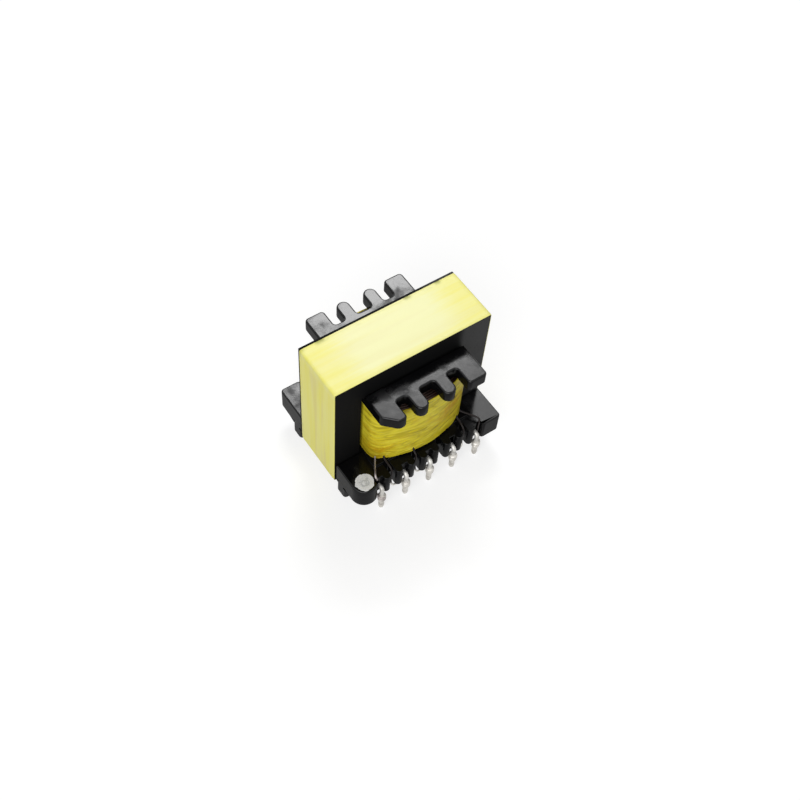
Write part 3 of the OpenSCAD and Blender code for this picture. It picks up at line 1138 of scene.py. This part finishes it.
@dataclass
class PinRows:
    """Ten L-shaped pins and the winding ends that are wound and soldered on them."""

    pitch: float = 5.0
    count: int = 5
    pin_r: float = 0.4
    seat_y: float = 8.9
    stub: float = 0.2
    bend_y: float = 11.9
    bend_r: float = 0.6
    bend_steps: int = 12
    row_y: float = 12.5
    level_z: float = 6.0
    shank_z: tuple[float, ...] = (4.6, 3.6, 2.6, 2.0, 1.4, 0.8, 0.4)
    tip: tuple[tuple[float, float], ...] = ((0.16, 1.0), (0.08, 0.93), (0.03, 0.8), (0.0, 0.58))
    lead_r: float = 0.172
    lead_gap: float = 0.03
    lead_step: float = 0.35
    coil_offs: tuple[float, float] = (-0.3, 0.205)
    coil_high: float = 9.95
    coil_low: float = 9.25
    crest_y: float = 11.15
    beside_y: float = 11.705
    beside_z: tuple[float, ...] = (8.575, 8.05, 4.45)
    meet_y: float = 12.15
    meet_z: float = 3.98
    slot_y: float = 11.45
    slot_z: tuple[float, ...] = (8.4, 4.8)
    under_y: float = 11.895
    soft_steps: int = 5
    wind_r: float = 0.605
    wind_z: float = 3.895
    wind_fall: float = 0.38
    wind_turns: float = 2.5
    wind_step: int = 12
    wind_over: float = 20.0
    form: SolderForm = SolderForm()
    pin_finish: TinnedWire = TinnedWire("tinned_pin", "tinned_pin")
    lead_finish: TinnedWire = TinnedWire(
        "tinned_lead", "soldered_lead", (0.64, 0.62, 0.58), (0.38, 0.36, 0.33))
    enamel_finish: EnamelledLead = EnamelledLead()
    # Lead 1 gets a lighter tinned finish than the others' dark enamel, as a painted highlight along
    # it
    highlit_finish: TinnedWire = TinnedWire(
        "tinned_lead", "bare_lead", (0.4, 0.36, 0.35), (0.1, 0.08, 0.075), 0.4)
    bare_lead: int = 1

    def place(self, number: int) -> PinPlace:
        """A pin's place, counted along the front and back along the rear."""
        front = number <= self.count
        step = number - (self.count + 1) / 2 if front else (3 * self.count + 1) / 2 - number
        x = step * self.pitch
        return PinPlace(x, Side.FRONT if front else Side.BACK, abs(x) > self.pitch * 1.5)

    def pin_line(self, number: int) -> tuple[list[Point], list[float]]:
        """Axis of a pin and its share of the radius along it."""
        pin = self.place(number)
        line = [(self.seat_y, self.level_z, 1.0), (self.bend_y - self.stub, self.level_z, 1.0)]
        low = self.level_z - self.bend_r
        bend = arc(self.bend_y, low, self.bend_r, math.pi / 2, -math.pi / 2, self.bend_steps)
        line += [(y, z, 1.0) for y, z, _, _ in bend]
        line += [(self.row_y, z, 1.0) for z in (low, *self.shank_z)]
        line += [(self.row_y, z, share) for z, share in self.tip]
        return [(pin.x, pin.side.value * y, z) for y, z, _ in line], [share for _, _, share in line]

    def lead_line(self, number: int) -> list[Point]:
        """Way of a lead from the coil, past or through the comb and round its pin."""
        pin = self.place(number)
        way = pin.way
        x = pin.x + way * (self.wind_r + self.lead_gap if pin.outer else self.pitch / 2)
        (ux, uy), (sx, sy) = (Coil().face_point(abs(x), off) for off in self.coil_offs)
        route = [(way * ux, uy, self.coil_high), (way * sx, sy, self.coil_low)]
        if pin.outer:
            route += [(x, self.crest_y, self.coil_low),
                      *((x, self.beside_y, z) for z in self.beside_z),
                      (pin.x + way * self.wind_r, self.meet_y, self.meet_z)]
        else:
            route += [*((x, self.slot_y, z) for z in self.slot_z),
                      (x - way * self.lead_step, self.under_y, self.wind_z),
                      (pin.x + way * self.lead_step, self.under_y, self.wind_z)]
        line = soft_line([Vector(p) for p in route], self.soft_steps)
        for wound in range(0, int(360 * self.wind_turns) + 1, self.wind_step):
            a = math.radians(pin.angle + pin.turn * wound)
            line.append(Vector((pin.x + self.wind_r * math.cos(a),
                                self.row_y + self.wind_r * math.sin(a),
                                self.wind_z - self.wind_fall * wound / 360)))
        return [(p.x, pin.side.value * p.y, p.z) for p in line]

    def ridge(self, pin: PinPlace, theta: float, z: float) -> float:
        """How near a place on a pin is to the turns of its lead, from 0 to 1."""
        first = ((theta - pin.angle) * pin.turn) % 360
        near = 0.0
        for wound in (first, first + 360, first + 720):
            if wound <= 360 * self.wind_turns + self.wind_over:
                off = z - (self.wind_z - self.wind_fall * wound / 360)
                near = max(near, math.exp(-(off / self.form.ridge_w) ** 2))
        return near

    def solder(self, number: int, stuff: Material) -> Object:
        """Makes the solder that fills the turns of a lead on its pin."""
        pin, form = self.place(number), self.form
        points: list[Point] = []
        for j in range(form.rows + 1):
            z = form.low + (form.high - form.low) * j / form.rows
            for k in range(form.sides):
                theta = 360 * k / form.sides
                c, s = math.cos(math.radians(theta)), math.sin(math.radians(theta))
                flow = waver(c * 1.3 + number * 3.7, s * 1.3, z * 1.2)
                r = form.radius(z, flow, self.ridge(pin, theta, z))
                points.append((pin.x + r * c, pin.side.value * (self.row_y + r * s), z))
        faces = ring_faces(form.rows + 1, form.sides, False)
        return solid(f"solder_{number}", points, faces, stuff)

    def build(self, wires: WireTree) -> None:
        """Makes and places all pins, leads and their solder."""
        pin_stuff, lead_stuff = self.pin_finish.material(), self.lead_finish.material()
        enamel, lighter = self.enamel_finish.material(), self.highlit_finish.material()
        for number in range(1, 2 * self.count + 1):
            line, swell = self.pin_line(number)
            pin = wires.sweep(f"pin_{number}_wire", [line], [swell], False, Radius=self.pin_r * MM,
                              Sides=28, Unevenness=0.0, Grain=500.0, Seed=float(number),
                              Material=pin_stuff)
            settle(pin, self.pin_finish.slot, f"pin_{number}")
            way = self.lead_line(number)
            # Lead 1 is dressed lighter as a painted highlight
            lead = wires.sweep(f"lead_{number}_wire", [way], [[1.0] * len(way)], False,
                               Radius=self.lead_r * MM, Sides=12, Unevenness=0.06, Grain=900.0,
                               Seed=float(number),
                               Material=lighter if number == self.bare_lead else enamel)
            settle(lead, self.lead_finish.slot, f"lead_{number}")
            settle(self.solder(number, lead_stuff), self.lead_finish.slot)


@dataclass
class PolarityDot:
    """Dab of white paint with an uneven rim."""

    z: float = 8.4
    radius: float = 1.72
    thick: float = 0.05
    least: float = 0.004
    lift: float = 0.001
    rings: int = 10
    sides: int = 72
    finish: DotPaint = DotPaint()

    def build(self) -> None:
        """Makes and places the dot."""
        (x, y), n = self.finish.middle, self.sides
        points: list[Point] = [(x, y, self.z + self.thick)]
        for j in range(1, self.rings + 1):
            share = j / self.rings
            for k in range(n):
                c, s = math.cos(2 * math.pi * k / n), math.sin(2 * math.pi * k / n)
                rim = (0.95 + 0.09 * waver(c * 2.2, s * 2.2, 0.4)
                       + 0.06 * waver(c * 6.0, s * 6.0, 2.4))
                r = self.radius * min(1.0, rim) * share
                dab = waver(r * c * 1.2, r * s * 0.6, 5.0)
                h = self.thick * (1 - share ** 6) * (0.82 + 0.18 * dab)
                points.append((x + r * c, y + r * s, self.z + max(h, self.least)))
        points += [(px, py, self.z + self.lift) for px, py, _ in points[-n:]]
        points.append((x, y, self.z + self.lift))
        faces: list[tuple[int, ...]] = [(0, 1 + k, 1 + (k + 1) % n) for k in range(n)]
        for a in range(1, 1 + self.rings * n, n):
            b = a + n
            faces += [(a + k, b + k, b + (k + 1) % n, a + (k + 1) % n) for k in range(n)]
        last = 1 + self.rings * n
        faces += [(len(points) - 1, last + (k + 1) % n, last + k) for k in range(n)]
        made = solid("dot_dab", points, faces, self.finish.material())
        settle(made, self.finish.slot, "polarity_dot")


# Stage

# Middle of the part, which the lights face, in metres
MIDDLE: Point = (0.0, 0.0, 0.015)


@dataclass(frozen=True)
class SoftLight:
    """Flat soft light that faces the part.

    Attributes:
        name: the light's name.
        source: direction that it shines from.
        distance: from the middle of the part, in metres.
        size: its two sides in metres.
        radiance: how bright its face is.
    """

    name: str
    source: Point
    distance: float
    size: tuple[float, float]
    radiance: float

    def hang(self) -> None:
        """Puts the light in its place."""
        lamp = bpy.data.lights.new(self.name, "AREA")
        lamp.shape = "RECTANGLE"
        lamp.size, lamp.size_y = self.size
        lamp.energy = math.pi * self.size[0] * self.size[1] * self.radiance
        holder = new_object(self.name, lamp)
        direction = Vector(self.source).normalized()
        holder.location = direction * self.distance + Vector(MIDDLE)
        holder.rotation_euler = direction.to_track_quat("Z", "Y").to_euler()


@dataclass
class Studio:
    """Pale floor, soft lights, an even surround and the camera."""

    floor_size: float = 3.0
    floor_drop: float = 1e-5
    floor_albedo: float = 0.37
    floor_glow: float = 0.71
    sky: float = 0.15
    key: SoftLight = SoftLight("key_box", (0.35, 0.436, 0.829), 0.42, (0.2, 0.2), 3.5)
    rim: SoftLight = SoftLight("rim_box", (0.312, 0.55, 0.775), 0.432, (0.14, 0.07), 15.0)
    fill: SoftLight = SoftLight("fill_box", (-0.62, -0.56, 0.55), 0.5, (0.4, 0.4), 3.9)
    eye: Point = (-0.066795, -0.085618, 0.170528)
    aim: Point = (-0.000886, -0.003683, 0.0145)
    roll: float = 5.36
    lens: float = 50.25
    sensor: float = 36.0
    clip: tuple[float, float] = (0.005, 20.0)

    def seen(self, nodes: Nodes) -> NodeSocket:
        """Is 1 for rays that see the background: from the camera, in gloss and through glass."""
        path = nodes.node("ShaderNodeLightPath").outputs
        total = path["Is Camera Ray"]
        for other in ("Is Glossy Ray", "Is Transmission Ray"):
            total = nodes.operate("MAXIMUM", total, path[other])
        return total

    def floor(self) -> None:
        """Lays the floor, which glows to the eye so that it is white and keeps the shadow."""
        s, z = self.floor_size, -self.floor_drop
        mesh = bpy.data.meshes.new("floor")
        mesh.from_pydata([(-s, -s, z), (s, -s, z), (s, s, z), (-s, s, z)], [], [(0, 1, 2, 3)])
        stuff = bpy.data.materials.new("floor_paper")
        stuff.use_nodes = True
        nodes = Nodes(stuff.node_tree)
        nodes.tree.nodes.clear()
        matte = nodes.node("ShaderNodeBsdfDiffuse", sockets={"Color": (self.floor_albedo,) * 3})
        gain = nodes.operate("MULTIPLY", self.seen(nodes), self.floor_glow)
        glow = nodes.node("ShaderNodeEmission", sockets={"Strength": gain})
        both = nodes.node("ShaderNodeAddShader", sockets={0: matte.outputs[0], 1: glow.outputs[0]})
        nodes.node("ShaderNodeOutputMaterial", sockets={"Surface": both.outputs[0]})
        mesh.materials.append(stuff)
        new_object("floor", mesh)

    def surround(self) -> None:
        """Sets an even pale surround, white where it is seen."""
        world = bpy.data.worlds.new("surround")
        bpy.context.scene.world = world
        world.use_nodes = True
        nodes = Nodes(world.node_tree)
        back = nodes.tree.nodes["Background"].inputs
        nodes.put(back["Color"], (1.0, 1.0, 1.0))
        gain = nodes.operate("MULTIPLY_ADD", self.seen(nodes), 1.0 - self.sky, self.sky)
        nodes.put(back["Strength"], gain)

    def lights(self) -> None:
        """Hangs two lights that the level black tops mirror and one that fills the near sides."""
        for light in (self.key, self.rim, self.fill):
            light.hang()

    def camera(self) -> None:
        """Stands the camera where the photograph was taken from."""
        data = bpy.data.cameras.new("camera")
        data.lens = self.lens
        data.sensor_width = self.sensor
        data.clip_start, data.clip_end = self.clip
        holder = new_object("camera", data)
        holder.location = self.eye
        look = (Vector(self.aim) - Vector(self.eye)).to_track_quat("-Z", "Y")
        holder.rotation_mode = "QUATERNION"
        holder.rotation_quaternion = look @ Quaternion((0.0, 0.0, 1.0), math.radians(self.roll))
        bpy.context.scene.camera = holder

    def build(self) -> None:
        """Sets up the whole stage."""
        bpy.context.scene.view_settings.view_transform = "Standard"
        self.floor()
        self.surround()
        self.lights()
        self.camera()


def main() -> None:
    """Builds the sub-assemblies in order on the loaded frame."""
    logging.basicConfig(level=logging.INFO, format="%(name)s: %(message)s")
    for start in list(bpy.data.objects):
        bpy.data.objects.remove(start)
    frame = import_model()
    nodes = frame["nodes"]
    wires = WireTree()
    Studio().build()
    Moulding().build(nodes)
    Core().build(nodes)
    CoreTape().build()
    Coil().build(nodes, wires)
    PinRows().build(wires)
    PolarityDot().build()


if __name__ == "__main__":
    main()
